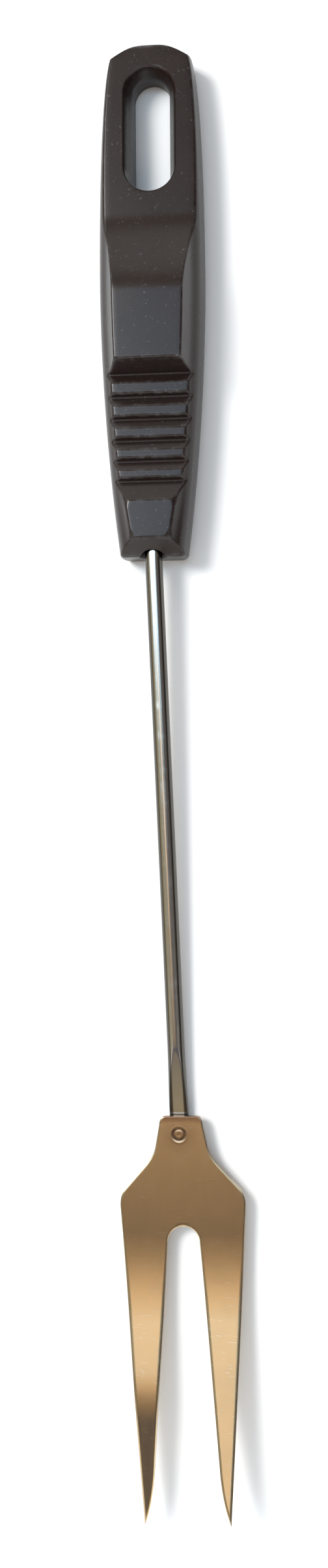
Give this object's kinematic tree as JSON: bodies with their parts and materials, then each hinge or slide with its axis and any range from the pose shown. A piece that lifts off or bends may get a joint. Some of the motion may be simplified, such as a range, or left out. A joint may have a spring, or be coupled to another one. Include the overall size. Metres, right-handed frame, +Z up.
{
  "type": "roasting fork",
  "caption": "Long two-tine roasting fork: ribbed moulded handle with a hanging slot, round steel shank and a flat stamped head.",
  "frame": {"origin": "middle of the bottom of the fork's box, on the surface that it lies on", "axes": "+Z up, out of the ribbed front; +Y along the fork towards the hanging end, with the tines towards -Y; +X to the right as seen from above"},
  "size_m": [0.0318, 0.3382, 0.0164],
  "materials": {
    "phenolic": "dark brown phenolic moulding, matt with a fine grain and worn edges",
    "bright_rod": "bright drawn steel rod",
    "satin_plate": "satin stainless plate with light scratches",
    "weld_steel": "heat-tinted weld steel"
  },
  "bodies": {
    "root": {"handle": "phenolic", "shank": "bright_rod", "fork_head": "satin_plate", "weld_nugget": "weld_steel"}
  },
  "joints": []
}
